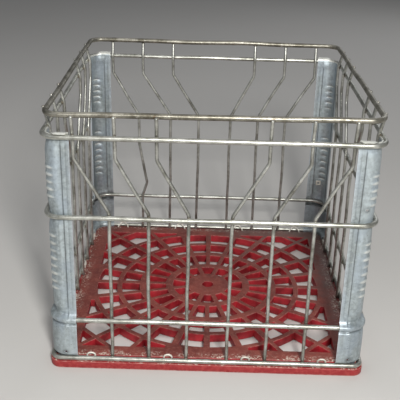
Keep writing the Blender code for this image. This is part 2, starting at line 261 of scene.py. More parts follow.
def finish_piece(name, mesh, material, nodes):
    """Puts a mesh in the scene as a piece that stands for CAD nodes."""
    piece = add_object(name, mesh)
    mesh.materials.clear()
    mesh.materials.append(material)
    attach(piece, "root")
    if nodes:
        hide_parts(*nodes)
    return piece


def turned(points, turn):
    """Points of the front side, turned by right angles about +Z."""
    points = np.asarray(points, float)
    cos, sin = round(math.cos(turn * QUARTER)), round(math.sin(turn * QUARTER))
    out = points.copy()
    out[:, 0] = points[:, 0] * cos - points[:, 1] * sin
    out[:, 1] = points[:, 0] * sin + points[:, 1] * cos
    return out


def smooth(low, high, value):
    """0 below low, 1 above high, and an easy curve between them."""
    t = min(1.0, max(0.0, (value - low) / (high - low)))
    return t * t * (3 - 2 * t)


def bell(value, centre, width):
    """1 at the centre, and almost nothing two widths away from it."""
    return math.exp(-((value - centre) / width) ** 2)


def wobble(value, seed):
    """A smooth number from -1 to 1 that wanders along value."""
    return noise.noise(Vector((value, seed * 7.31, seed * 3.17)))


def set_attribute(mesh, name, values):
    layer = mesh.attributes.new(name, "FLOAT", "POINT")
    layer.data.foreach_set("value", np.asarray(values, np.float32))


def evaluated_mesh(piece):
    bpy.context.view_layer.update()
    evaluated = piece.evaluated_get(bpy.context.evaluated_depsgraph_get())
    return bpy.data.meshes.new_from_object(evaluated)


# --- paths ---

def rounded_square(half, corner, steps, spacing=None):
    """Points round a square, anticlockwise, with arcs at the corners."""
    points = []
    for quarter in range(4):
        start = quarter * QUARTER
        middle = start + QUARTER / 2
        centre_x = math.copysign(half - corner, math.cos(middle))
        centre_y = math.copysign(half - corner, math.sin(middle))
        for step in range(steps + 1):
            angle = start + QUARTER * step / steps
            points.append(
                (centre_x + corner * math.cos(angle), centre_y + corner * math.sin(angle)))
    if spacing is None:
        return points
    return densify(points + points[:1], spacing)[:-1]


def densify(points, spacing):
    """Adds points so that no two neighbours are further apart than spacing."""
    points = [tuple(p) for p in points]
    out = [points[0]]
    for before, after in zip(points, points[1:]):
        length = math.dist(before, after)
        pieces = max(1, math.ceil(length / spacing))
        for step in range(1, pieces + 1):
            out.append(tuple(b + (a - b) * step / pieces for b, a in zip(before, after)))
    return out


def bent_path(corners, radius, steps):
    """The path through corners, with every bend an arc of the given radius."""
    corners = [Vector(corner) for corner in corners]
    points = [corners[0]]
    for before, corner, after in zip(corners, corners[1:], corners[2:]):
        back = (before - corner).normalized()
        ahead = (after - corner).normalized()
        turn = math.pi - back.angle(ahead)
        reach = min(radius, 0.9 * min((before - corner).length, (after - corner).length)
                    / math.tan(turn / 2) / 2)
        centre = corner + (back + ahead).normalized() * reach / math.cos(turn / 2)
        start = corner + back * reach * math.tan(turn / 2) - centre
        end = corner + ahead * reach * math.tan(turn / 2) - centre
        for step in range(steps + 1):
            angle = turn * step / steps
            arm = (start * math.sin(turn - angle) + end * math.sin(angle)) / math.sin(turn)
            points.append(centre + arm)
    points.append(corners[-1])
    return points


# --- round wire ---

def tube(name, path, radii, closed, sides=14):
    """A mesh of round wire along a path, with domed ends where it is open."""
    path = np.asarray(path, float)
    count = len(path)
    radii = np.broadcast_to(np.asarray(radii, float), (count,))
    if closed:
        tangents = np.roll(path, -1, 0) - np.roll(path, 1, 0)
    else:
        tangents = np.gradient(path, axis=0)
    tangents /= np.linalg.norm(tangents, axis=1)[:, None]
    first = np.array((0.0, 0.0, 1.0)) if closed else np.array((0.31, -0.95, 0.02))
    normals = []
    current = first
    for tangent in tangents:
        start = first if closed else current
        current = start - tangent * start.dot(tangent)
        current /= np.linalg.norm(current)
        normals.append(current)
    normals = np.array(normals)
    across = np.cross(tangents, normals)
    angles = np.arange(sides) * 2 * math.pi / sides
    rings = [(path[i], normals[i], across[i], radii[i]) for i in range(count)]
    tips = None
    if not closed:
        head, tail = [], []
        for rise in (70, 45, 20):
            shrink, push = math.cos(math.radians(rise)), math.sin(math.radians(rise)) * 0.5
            head.append((path[0] - tangents[0] * radii[0] * push, normals[0], across[0],
                         radii[0] * shrink))
            tail.insert(0, (path[-1] + tangents[-1] * radii[-1] * push, normals[-1], across[-1],
                            radii[-1] * shrink))
        rings = head + rings + tail
        tips = (path[0] - tangents[0] * radii[0] * 0.52, path[-1] + tangents[-1] * radii[-1] * 0.52)
    vertices = []
    for centre, normal, side, radius in rings:
        for angle in angles:
            vertices.append(centre + radius * (math.cos(angle) * normal + math.sin(angle) * side))
    faces = []
    total = len(rings)
    for ring in range(total if closed else total - 1):
        after = (ring + 1) % total
        for k in range(sides):
            right = (k + 1) % sides
            faces.append((ring * sides + k, ring * sides + right,
                          after * sides + right, after * sides + k))
    if tips:
        low, high = len(vertices), len(vertices) + 1
        vertices += list(tips)
        for k in range(sides):
            right = (k + 1) % sides
            faces.append((low, right, k))
            faces.append((high, (total - 1) * sides + k, (total - 1) * sides + right))
    mesh = bpy.data.meshes.new(name)
    mesh.from_pydata([tuple(v) for v in vertices], [], faces)
    shape = bmesh.new()
    shape.from_mesh(mesh)
    bmesh.ops.recalc_face_normals(shape, faces=shape.faces[:])
    shape.to_mesh(mesh)
    shape.free()
    mesh.shade_smooth()
    return mesh


def mark_welds(mesh, places, reach):
    """Stores how near each vertex is to a weld, from 0 to 1."""
    co = np.zeros(len(mesh.vertices) * 3, np.float32)
    mesh.vertices.foreach_get("co", co)
    co = co.reshape(-1, 3)
    near = np.zeros(len(co))
    for place in places:
        distance = np.linalg.norm(co - np.asarray(place, np.float32), axis=1)
        near = np.maximum(near, np.exp(-(distance / reach) ** 2))
    set_attribute(mesh, "weld", near)


def upright_lean():
    """Where the upright starts to lean outwards above the upper hoop, and where its top is."""
    inner = HOOP_RADIUS + UPRIGHT_RADIUS + GAP - UPRIGHT_PRESS
    outer = RIM_RADIUS + UPRIGHT_RADIUS + GAP - UPRIGHT_PRESS
    across = RIM_HALF - HOOP_HALF
    up = RIM_Z - UPPER_Z
    lean = math.asin((inner + outer) / math.hypot(across, up)) + math.atan2(across, up)
    touch_out = HOOP_HALF - inner * math.cos(lean)
    touch_z = UPPER_Z + inner * math.sin(lean)
    start_z = touch_z - (touch_out - UPRIGHT_PLANE) / math.tan(lean)
    top_z = RIM_Z - 0.0006
    return start_z, UPRIGHT_PLANE + (top_z - start_z) * math.tan(lean), top_z


def upright_path(side, number):
    """Middle line of an upright of the front side. The sides differ in their wear."""
    start_z, top_out, top_z = upright_lean()
    from_middle = number - (UPRIGHTS - 1) / 2
    low = from_middle * LOW_PITCH
    high = math.copysign(HIGH_FIRST + (abs(from_middle) - 0.5) * HIGH_PITCH, low)
    low += SHIFTS[side][number]
    bends = [(low, UPRIGHT_FOOT_Z)]
    if side == "back" and number == UPRIGHTS - 1:
        bends = [(low - KINK[0][0], UPRIGHT_FOOT_Z)] + [(low - push, z) for push, z in KINK]
    bends += [(low, JOG_START_Z), (high, JOG_END_Z), (high, start_z)]
    corners = [(x, -UPRIGHT_PLANE, z) for x, z in bends] + [(high, -top_out, top_z)]
    path = np.array(densify(bent_path(corners, UPRIGHT_BEND, 6), 0.004))
    seed = SIDES.index(side) * UPRIGHTS + number + 1
    hoops = (BASE_Z, LOWER_Z, MIDDLE_Z, UPPER_Z, RIM_Z)
    for point in path:
        free = min(1.0, min(abs(point[2] - z) for z in hoops) / HELD_WITHIN)
        point[0] += WAVER[0] * free * wobble(point[2] * WAVER_RATE, seed)
        point[1] += WAVER[1] * free * wobble(point[2] * WAVER_RATE, seed + 40)
    return path


def crossing(path, height):
    """The point of an upright's path at a height."""
    order = np.argsort(path[:, 2])
    z = path[order, 2]
    return np.array([np.interp(height, z, path[order, axis]) for axis in range(3)])


def rim_lift(x, y):
    """How far the rim stands above or below its own level, at a point of the plan."""
    across = 0.5 + x / RIM_HALF / 2
    back = 0.5 + y / RIM_HALF / 2
    front_left, front_right, back_right, back_left = RIM_LIFTS
    front = front_left + (front_right - front_left) * across
    rear = back_left + (back_right - back_left) * across
    return front + (rear - front) * back


def nugget(shape, place, size, seed):
    """Adds a lump of weld metal to a bmesh."""
    made = bmesh.ops.create_icosphere(shape, subdivisions=3, radius=1.0)
    for vertex in made["verts"]:
        bump = 1.0 + 0.20 * noise.noise(vertex.co * 1.7 + Vector((seed, 0.0, seed * 0.3)))
        bump += 0.07 * noise.noise(vertex.co * 4.5 + Vector((0.0, seed, 0.0)))
        vertex.co = Vector(place) + Vector(
            (vertex.co.x * size[0] * bump, vertex.co.y * size[1] * bump,
             vertex.co.z * size[2] * bump))


def make_wires(materials):
    """Uprights, hoops and the welds between them."""
    heights = {"base": BASE_Z, "lower": LOWER_Z, "middle": MIDDLE_Z, "upper": UPPER_Z}
    places = {"rim": [], "base": [], "lower": [], "middle": [], "upper": []}
    for turn, side in enumerate(SIDES):
        lumps = bmesh.new()
        for number in range(UPRIGHTS):
            path = upright_path(side, number)
            top = turned([path[-1]], turn)[0]
            lift = rim_lift(top[0], top[1])
            for point in path:
                point[2] += lift * smooth(UPPER_Z + 0.006, RIM_Z, point[2])
            own = []
            for name, height in heights.items():
                spot = crossing(path, height)
                spot[1] = -(HOOP_HALF - HOOP_RADIUS * 0.80)
                own.append((name, spot, HOOP_LUMP))
            spot = crossing(path, RIM_Z + lift - 0.0012)
            spot[1] = -(RIM_HALF + RIM_RADIUS * 0.78)
            wide = BIG_LUMP if side == "front" and number == UPRIGHTS - 1 else 1.0
            own.append(("rim", spot, [s * wide for s in RIM_LUMP]))
            for k, (name, spot, size) in enumerate(own):
                seed = turn * 31.7 + number * 5.3 + k * 1.9
                grow = 1.0 + 0.22 * wobble(seed, 3)
                nugget(lumps, spot, [s * grow for s in size], seed)
            turned_spots = turned([spot for _, spot, _ in own], turn)
            for (name, _, _), place in zip(own, turned_spots):
                places[name].append(place)
            name = f"upright_{side}_{number + 1}"
            mesh = tube(name, turned(path, turn), UPRIGHT_RADIUS, False)
            mark_welds(mesh, turned_spots, WELD_REACH)
            finish_piece(name, mesh, materials["upright"],
                         [f"wire_{side}_{number + 1}"])
        mesh = bpy.data.meshes.new(f"welds_{side}")
        spin = Matrix.Rotation(turn * QUARTER, 3, "Z")
        bmesh.ops.rotate(lumps, verts=lumps.verts[:], matrix=spin)
        lumps.to_mesh(mesh)
        lumps.free()
        mesh.shade_smooth()
        finish_piece(f"welds_{side}", mesh, materials["weld"], [])
    for name, spots in places.items():
        make_hoop(name, spots, materials)


def make_hoop(name, spots, materials):
    """One hoop. The spots are where the uprights are welded to it."""
    half, corner, radius, height = HOOP_HALF, HOOP_CORNER, HOOP_RADIUS, hoop_height(name + "_hoop")
    if name == "rim":
        half, corner, radius = RIM_HALF, RIM_CORNER, RIM_RADIUS
    corner = {"lower": LOWER_CORNER, "base": BASE_CORNER}.get(name, corner)
    seed = list(SEAMS).index(name) + 60
    seam_x, seam_y = SEAMS[name][0], SEAMS[name][1] * half
    path, radii = [], []
    for x, y in rounded_square(half, corner, 14, 0.005):
        flat = min(1.0, max(0.0, (STRAIGHT_FROM - min(abs(x), abs(y))) / 0.030))
        along = x if abs(y) > abs(x) else y
        side = (x > y) * 2 + (x > -y)
        rise = SWAY[name] * flat * wobble(along * 14, seed + side * 5)
        push = SWAY[name] * 0.6 * flat * wobble(along * 12, seed + side * 5 + 2)
        if name == "rim":
            rise += rim_lift(x, y)
        if abs(y) > abs(x):
            path.append((x, y + push, height + rise))
        else:
            path.append((x + push, y, height + rise))
        near_seam = bell(math.hypot(x - seam_x, y - seam_y), 0.0, SEAM_REACH)
        radii.append(radius * (1.0 + SEAM_SWELLING * near_seam))
    mesh = tube(f"{name}_hoop_wire", path, radii, True, 16)
    mark_welds(mesh, spots + [(seam_x, seam_y, height)], HOOP_WELD_REACH)
    material = materials["rim"] if name == "rim" else materials["hoop"]
    finish_piece(f"{name}_hoop_wire", mesh, material, [f"{name}_hoop"])


def make_staples(materials):
    for turn, side in enumerate(SIDES):
        shape = BACK_STAPLE if side == "back" else STAPLE
        left = [(-half, -out, z) for half, out, z in shape]
        right = [(-x, y, z) for x, y, z in reversed(left)]
        for number, place in enumerate(STAPLE_PLACES):
            seed = turn * 4 + number + 90
            slide = STAPLE_SLIDE * wobble(seed, 1)
            corners = [(x + place + slide, y, z) for x, y, z in left + right]
            path = np.array(densify(bent_path(corners, STAPLE_BEND, 5), 0.0008))
            name = f"staple_{side}_{number + 1}"
            mesh = tube(name, turned(path, turn), STAPLE_RADIUS, False, 12)
            ends = turned([path[0], path[-1]], turn)
            mark_welds(mesh, ends, STAPLE_WELD_REACH)
            finish_piece(name, mesh, materials["staple"], ["base_" + name])


# --- corner posts ---

def post_columns():
    """Across the post: centre of curvature, outward angle, sunk share, distance along, bend."""
    along = [POST_EDGE, POST_EDGE + 0.0005, POST_EDGE + 0.0012, 0.1376, BEAD_ALONG - 0.0005,
             BEAD_ALONG, BEAD_ALONG + 0.0005, 0.1404, 0.1416, 0.1424, STEP_OUTER, 0.1434, 0.1437,
             0.1441, STEP_INNER, 0.1450, 0.1458]
    columns = []
    for a in along:
        columns.append((POST_CORNER, a, 0.0, smooth(STEP_OUTER, STEP_INNER, a), a - POST_EDGE, 0.0))
    steps = 14
    arc_start = POST_CORNER - POST_EDGE
    arc_length = POST_BEND * QUARTER
    for step in range(steps + 1):
        angle = QUARTER * step / steps
        bend = math.sin(2 * angle) if 0 < step < steps else 0.0
        columns.append((POST_CORNER, POST_CORNER, angle, 1.0,
                        arc_start + arc_length * step / steps, bend))
    full = 2 * arc_start + arc_length
    for a in reversed(along):
        sunk = smooth(STEP_OUTER, STEP_INNER, a)
        columns.append((a, POST_CORNER, QUARTER, sunk, full - (a - POST_EDGE), 0.0))
    return columns, full


def arc_rows(offset, height, radius, start, end, steps):
    rows = []
    for step in range(steps + 1):
        angle = math.radians(start + (end - start) * step / steps)
        rows.append((offset + radius * math.cos(angle), height + radius * math.sin(angle)))
    return rows


def post_rows():
    """Offsets and heights from the foot up, for the flanges and for the corner panel."""
    bend = FOOT_OFFSET - FOOT_BEND
    inside = HOOP_OFFSET - HUG_RADIUS
    rows = [(inside, POST_BOTTOM_Z), (inside, BASE_Z - 0.0011)]
    rows += arc_rows(HOOP_OFFSET, BASE_Z, HUG_RADIUS, 180, 105, 6)
    rows += arc_rows(bend, FOOT_LOW_Z, FOOT_BEND, -70, 0, 4)
    for step in range(1, 24):
        z = FOOT_LOW_Z + (FOOT_TOP_Z - FOOT_LOW_Z) * step / 24
        rows.append((FOOT_OFFSET, z))
    rows += arc_rows(bend, FOOT_TOP_Z, FOOT_BEND, 0, 70, 5)
    rows += [(CREASE[0] + 0.0001, CREASE[1] - 0.0003), CREASE,
             (CREASE[0] + 0.0009, CREASE[1] + 0.0005)]
    rows += arc_rows(HOOP_OFFSET, LOWER_Z, WRAP_RADIUS, -60, 30, 9)
    both = [(row, row) for row in rows]
    top = rows[-1]
    for step in range(1, 11):
        t = step / 10
        ease = (1 - t) ** FLARE_EASE
        both.append(((top[0] * ease, top[1] + (FLARE_Z - top[1]) * t),
                     (-STEP_DEPTH + (top[0] + STEP_DEPTH) * ease,
                      top[1] + (CORNER_FLARE_Z - top[1]) * t)))
    count = 156
    for step in range(1, count + 1):
        t = step / count
        both.append(((0.0, FLARE_Z + (STEP_TOP_Z - FLARE_Z) * t),
                     (-STEP_DEPTH, CORNER_FLARE_Z + (STEP_TOP_Z - CORNER_FLARE_Z) * t)))
    lip = arc_rows(HOOP_OFFSET, UPPER_Z, HUG_RADIUS, 180, 80, 12)
    settle = lip[0]
    for step in (1, 2):
        t = step / 3
        z = STEP_TOP_Z + (settle[1] - STEP_TOP_Z) * t
        both.append(((settle[0] * t, z), (-STEP_DEPTH + (settle[0] + STEP_DEPTH) * t, z)))
    first_lip = len(both)
    both += [(row, row) for row in lip]
    return both, first_lip, len(lip)


def rib_rise(z):
    """Height of the pressed ribs across the corner, at a height on the post."""
    for low, high, pitch in RIB_GROUPS:
        if low - pitch / 2 < z < high + pitch / 2:
            wave = 0.5 + 0.5 * math.cos(2 * math.pi * (z - low) / pitch)
            fade = smooth(low - pitch / 2, low, z) * (1 - smooth(high, high + pitch / 2, z))
            return RIB_HEIGHT * wave ** 1.7 * fade
    return 0.0


def lip_point(share, distance, from_edge, round_side, seed):
    """Offset and height on the lip, where share runs from 0 inside the hoop to 1 at its edge."""
    short = LIP_CUT * (1 - smooth(0.0, LIP_CUT_WIDTH, from_edge)) ** 1.5
    short += LIP_NOTCH * smooth(0.10, LIP_FADE, round_side)
    short += LIP_RAG * noise.noise(Vector((distance * 420, seed, 0.5)))
    angle = math.radians(180 - share * max(LIP_LEAST, LIP_TURN - short))
    rise = LIP_RISE * smooth(0.0, 0.6, share) * (1 - smooth(0.0, LIP_FADE, round_side))
    return (HOOP_OFFSET + HUG_RADIUS * math.cos(angle),
            UPPER_Z + HUG_RADIUS * math.sin(angle) + rise)


def post_mesh(name, turn, holes):
    """The post's outer face, with its marks, painted shade and highlights among them, stored as
    attributes.
    """
    columns, full = post_columns()
    rows, first_lip, lip_count = post_rows()
    vertices, marks = [], {"edge": [], "painted_shade": [], "rib": [], "lip": []}
    seed = turn * 11.0 + 5.0
    bulge = BULGE[name[len("post_"):]]
    bead = BEAD_ALONG - POST_EDGE
    for r, (flange, panel) in enumerate(rows):
        for centre_x, centre_y, angle, sunk, distance, bend in columns:
            offset = flange[0] + (panel[0] - flange[0]) * sunk
            z = flange[1] + (panel[1] - flange[1]) * sunk
            from_edge = min(distance, full - distance)
            # round the corner and across the post, from the front or back flange
            round_side, across = angle, distance
            if turn % 2 == 0:
                round_side, across = QUARTER - angle, full - distance
            if r >= first_lip:
                share = (r - first_lip) / (lip_count - 1)
                offset, z = lip_point(share, distance, from_edge, round_side, seed)
            below_top = 1 - smooth(*SHAFT_END, z)
            in_shaft = smooth(FLARE_Z, FLARE_Z + 0.006, z) * below_top
            in_foot = smooth(0.017, 0.022, z) * (1 - smooth(0.045, 0.049, z))
            # the ribs, and the wrap's tuck round the corner
            uneven = 1.0 + 0.5 * noise.noise(Vector((z * 130, seed, 3.0)))
            rib = rib_rise(z) * bend ** 2.2 * uneven
            tuck = WRAP_TUCK * smooth(0.0, 0.25, round_side) * (
                1 - 0.3 * smooth(QUARTER - 0.25, QUARTER, round_side))
            offset += rib - tuck * bell(z, LOWER_Z, 0.0075)
            offset -= tuck * (1 - sunk) * bell(z, LOWER_Z + 0.0050, 0.0028)
            # the fine line, and dents
            offset -= BEAD_DEPTH * in_shaft * bell(from_edge, bead, 0.0006)
            dent = noise.noise(Vector((distance * 90, z * 45, seed)))
            offset += DENTS * dent * max(in_shaft, in_foot)
            # the groove under the wrap sags
            ripple = noise.noise(Vector((distance * 160, seed, 0.0)))
            z -= bell(z, CREASE[1], 0.0026) * (
                CREASE_SAG * bell(from_edge, 0.0080, 0.0022) + CREASE_RIPPLE * ripple)
            # the corner bulges between the hoops, and the welds press it towards them
            between = smooth(0.0, 0.012, UPPER_Z - 0.006 - z)
            between *= smooth(0.0, 0.012, abs(z - MIDDLE_Z) - 0.004)
            round_corner = smooth(0.0, 0.2, min(angle, QUARTER - angle))
            offset += bulge * round_corner * in_shaft * between
            pressed = smooth(CORNER_FLARE_Z - 0.002, CORNER_FLARE_Z + 0.003, z)
            reach = POST_BEND + POST_PRESS * pressed * below_top + offset
            vertices.append((centre_x + reach * math.cos(angle),
                             centre_y + reach * math.sin(angle), z))
            # painted shade round the holes, so that they look dark inside
            grime_and_shade = max([bell(math.hypot(across - place, z - height), 0.0, 0.0026)
                         for place, height in holes], default=0.0)
            # painted highlight along the free edges of the flanges
            marks["edge"].append(math.exp(-from_edge / 0.0012))
            # painted shade in the groove under the lower hoop, along the step and the fine line,
            # and round the holes
            marks["painted_shade"].append(max(
                grime_and_shade, bell(z, CREASE[1] + 0.0004, 0.0009),
                0.75 * bell(from_edge, STEP_LINE - POST_EDGE, 0.0006) * in_shaft,
                0.35 * bell(from_edge, bead, 0.0005) * in_shaft))
            # the ribs' height, which also places their painted highlight
            marks["rib"].append(rib / RIB_HEIGHT)
            # painted highlight on the rolled lip
            marks["lip"].append(1.0 if r >= first_lip + 3 else 0.0)
    width = len(columns)
    faces = []
    for r in range(len(rows) - 1):
        for c in range(width - 1):
            corner = r * width + c
            faces.append((corner, corner + 1, corner + width + 1, corner + width))
    mesh = bpy.data.meshes.new(name)
    placed = turned(vertices, turn)
    mesh.from_pydata([tuple(v) for v in placed], [], faces)
    mesh.shade_smooth()
    for mark, values in marks.items():
        set_attribute(mesh, mark, values)
    return mesh


def faces_outwards(mesh):
    """True when the sheet's face is turned away from the crate's middle."""
    total = 0.0
    for face in mesh.polygons:
        outward = Vector((face.center.x, face.center.y, 0.0))
        total += face.normal.dot(outward) * face.area
    return total > 0


def make_posts(materials):
    holes = {"front_left": (-1, [FOOT_HOLE]), "front_right": (1, [FOOT_HOLE, SHAFT_HOLE])}
    for number, corner in enumerate(CORNERS):
        turn = (number + 2) % 4
        name = f"post_{corner}"
        sign, places = holes.get(corner, (1, []))
        mesh = post_mesh(name, turn, places)
        if not faces_outwards(mesh):
            mesh.flip_normals()
        draft = add_object(name + "_draft", mesh)
        solidify = draft.modifiers.new("thickness", "SOLIDIFY")
        solidify.thickness = SHEET
        solidify.offset = -1.0
        solidify.use_even_offset = True
        cutters = []
        for in_from_edge, height in places:
            cutters.append(hole_cutter(sign * (POST_EDGE + in_from_edge), height))
            add_boolean(draft, "DIFFERENCE", cutters[-1])
        final = evaluated_mesh(draft)
        final.name = name
        for made in [draft] + cutters:
            bpy.data.objects.remove(made, do_unlink=True)
        final.shade_smooth()
        final.set_sharp_from_angle(angle=math.radians(55))
        finish_piece(name, final, materials["sheet"], [f"corner_post_{corner}"])


def hole_cutter(across, height):
    shape = bmesh.new()
    bmesh.ops.create_cone(shape, cap_ends=True, segments=20, radius1=HOLE_RADIUS,
                          radius2=HOLE_RADIUS, depth=0.02)
    bmesh.ops.rotate(shape, verts=shape.verts[:], matrix=Matrix.Rotation(QUARTER, 3, "X"))
    bmesh.ops.translate(shape, verts=shape.verts[:], vec=(across, -HOOP_HALF, height))
    mesh = bpy.data.meshes.new("hole_cutter")
    shape.to_mesh(mesh)
    shape.free()
    return add_object("hole_cutter", mesh)


# --- floor ---

def arc(radius, start, end, steps):
    points = []
    for step in range(steps + 1):
        angle = start + (end - start) * step / steps
        points.append((radius * math.cos(angle), radius * math.sin(angle)))
    return points


def ring_openings():
    """Openings between the radial ribs, ring by ring. Every rib has parallel sides."""
    outlines = [arc(CENTRE_HOLE, 0.0, 2 * math.pi, 32)[:-1]]
    for inner, outer, count, rib in RINGS:
        half_pitch = math.pi / count
        shift = 0.0 if count == RINGS[0][2] else half_pitch
        inner_half = half_pitch - math.asin(rib / 2 / inner)
        outer_half = half_pitch - math.asin(rib / 2 / outer)
        for number in range(count):
            middle = shift + 2 * half_pitch * number
            outline = arc(outer, middle - outer_half, middle + outer_half, 8)
            outline += arc(inner, middle + inner_half, middle - inner_half, 5)
            outlines.append(outline)
    return outlines


def corner_openings():
    """Openings outside the round field: three shapes, each mirrored into all eight places."""
    half_rib = CORNER_RIB / 2
    skew = half_rib * math.sqrt(2)
    swing = math.asin(half_rib / FIELD_CIRCLE)
    sixty = math.radians(60)
    edge = GRILLE_FIELD
    triangle = [
        (CORNER_ARM + skew - edge, edge), (edge - skew, edge),
        (CORNER_ARM / 2, CORNER_ARM / 2 + skew)]
    diamond = arc(FIELD_CIRCLE, sixty - swing, math.pi / 4 + swing, 6)
    diamond += [
        (CORNER_ARM / 2 - skew, CORNER_ARM / 2), (CORNER_ARM - skew - edge, edge),
        ((half_rib + edge * math.cos(sixty)) / math.sin(sixty), edge)]
    sliver = arc(FIELD_CIRCLE, math.acos(SLIVER_START / FIELD_CIRCLE), sixty + swing, 6)
    sliver += [
        ((edge * math.cos(sixty) - half_rib) / math.sin(sixty), edge), (SLIVER_START, edge)]
    outlines = []
    for outline in (triangle, diamond, sliver):
        for swapped in (outline, [(y, x) for x, y in outline]):
            for sign_x in (-1, 1):
                for sign_y in (-1, 1):
                    outlines.append([(sign_x * x, sign_y * y) for x, y in swapped])
    return outlines


def plate(name, outlines, bottom_z, top_z):
    """A flat plate with rounded edges. The first outline is its edge and the rest are holes."""
    curve = bpy.data.curves.new(name, "CURVE")
    curve.dimensions = "2D"
    curve.fill_mode = "BOTH"
    curve.extrude = (top_z - bottom_z) / 2 - EDGE_ROUND
    curve.bevel_depth = EDGE_ROUND
    curve.bevel_resolution = 1
    curve.offset = -EDGE_ROUND
    for outline in outlines:
        spline = curve.splines.new("POLY")
        spline.points.add(len(outline) - 1)
        for point, (x, y) in zip(spline.points, outline):
            point.co = (x, y, 0.0, 1.0)
        spline.use_cyclic_u = True
    draft = add_object(name, curve)
    mesh = evaluated_mesh(draft)
    bpy.data.objects.remove(draft, do_unlink=True)
    shape = bmesh.new()
    shape.from_mesh(mesh)
    bmesh.ops.translate(shape, verts=shape.verts[:], vec=(0.0, 0.0, (top_z + bottom_z) / 2))
    bmesh.ops.remove_doubles(shape, verts=shape.verts[:], dist=0.000001)
    flats = [face for face in shape.faces if len({round(v.co.z, 6) for v in face.verts}) == 1]
    # each edge once, in the same order every time
    flat_edges = list(dict.fromkeys(edge for face in flats for edge in face.edges))
    bmesh.ops.beautify_fill(shape, faces=flats, edges=flat_edges)
    bmesh.ops.recalc_face_normals(shape, faces=shape.faces[:])
    shape.to_mesh(mesh)
    shape.free()
    return add_object(name, mesh)


def make_floor(materials):
    outlines = [rounded_square(GRILLE_HALF, GRILLE_CORNER, 8)]
    outlines += ring_openings() + corner_openings()
    grille = plate("grille_draft", outlines, GRILLE_BOTTOM_Z, GRILLE_TOP_Z)
    frame_outlines = [rounded_square(LEDGE_HALF, LEDGE_CORNER, 12),
                      rounded_square(LEDGE_INNER, GRILLE_CORNER, 8)]
    ledge = plate("ledge_draft", frame_outlines, 0.0, LEDGE_TOP_Z)
    add_boolean(grille, "UNION", ledge)
    mesh = evaluated_mesh(grille)
    mesh.name = "floor_grille"
    for draft in (grille, ledge):
        bpy.data.objects.remove(draft, do_unlink=True)
    mesh.shade_smooth()
    mesh.set_sharp_from_angle(angle=math.radians(50))
    finish_piece("floor_grille", mesh, materials["plastic"], ["base_panel"])


def make_tab(materials):
    """A small square clip with a hole, on the inner face of the post at the right of the back."""
    half = TAB_SIZE / 2
    square = rounded_square(half, half / 4, 3)
    hole = arc(TAB_HOLE, 0.0, 2 * math.pi, 16)[:-1]
    draft = plate("tab_draft", [square, hole], 0.0, TAB_THICKNESS)
    mesh = draft.data
    mesh.transform(Matrix.Translation(TAB_PLACE) @ Matrix.Rotation(QUARTER, 4, "X"))
    bpy.data.objects.remove(draft, do_unlink=True)
    finish_piece("clip_back_right", mesh, materials["staple"], [])


# --- materials ---

class Nodes:
    """Short ways to build one material's node tree."""

    def __init__(self, name):
        self.material = bpy.data.materials.new(name)
        self.material.use_nodes = True
        self.tree = self.material.node_tree
        self.shader = self.tree.nodes["Principled BSDF"]
        self.place = self.add("ShaderNodeTexCoord").outputs["Object"]

    def add(self, kind, inputs=None, **settings):
        made = self.tree.nodes.new(kind)
        for key, value in settings.items():
            setattr(made, key, value)
        for key, value in (inputs or {}).items():
            self.feed(made.inputs[key], value)
        return made

    def feed(self, socket, value):
        if isinstance(value, bpy.types.NodeSocket):
            self.tree.links.new(value, socket)
        else:
            socket.default_value = value

    def noise(self, scale, detail=3.0, roughness=0.55, shift=(0.0, 0.0, 0.0),
              stretch=(1.0, 1.0, 1.0)):
        moved = self.add("ShaderNodeMapping", {
            "Vector": self.place, "Location": shift, "Scale": stretch}).outputs["Vector"]
        return self.add("ShaderNodeTexNoise", {
            "Vector": moved, "Scale": scale, "Detail": detail, "Roughness": roughness,
        }).outputs["Fac"]

    def ramp(self, value, low, high):
        """value, spread so that low becomes 0 and high becomes 1."""
        return self.add("ShaderNodeMapRange", {
            "Value": value, "From Min": low, "From Max": high}, clamp=True,
            interpolation_type="SMOOTHSTEP").outputs["Result"]

    def math(self, operation, first, second=0.0):
        return self.add("ShaderNodeMath", {0: first, 1: second}, operation=operation,
                        use_clamp=False).outputs["Value"]

    def mix(self, share, first, second):
        made = self.add("ShaderNodeMix", data_type="RGBA", blend_type="MIX")
        self.feed(made.inputs[0], share)
        self.feed(made.inputs[6], first)
        self.feed(made.inputs[7], second)
        return made.outputs[2]

    def times(self, *values):
        """The product of two or more values."""
        product = values[0]
        for value in values[1:]:
            product = self.math("MULTIPLY", product, value)
        return product

    def tint(self, colour, tone, *shares):
        """colour, mixed with a display tone by the product of the shares."""
        return self.mix(self.times(*shares), colour, linear(*tone))

    def attribute(self, name):
        return self.add("ShaderNodeAttribute", attribute_name=name).outputs["Fac"]

    def bump(self, height, distance, strength=1.0, under=None):
        inputs = {"Height": height, "Distance": distance, "Strength": strength}
        if under is not None:
            inputs["Normal"] = under
        return self.add("ShaderNodeBump", inputs).outputs["Normal"]

    def finish(self, colour, roughness, metallic, normal):
        self.feed(self.shader.inputs["Base Color"], colour)
        self.feed(self.shader.inputs["Roughness"], roughness)
        self.shader.inputs["Metallic"].default_value = metallic
        self.feed(self.shader.inputs["Normal"], normal)
        return self.material


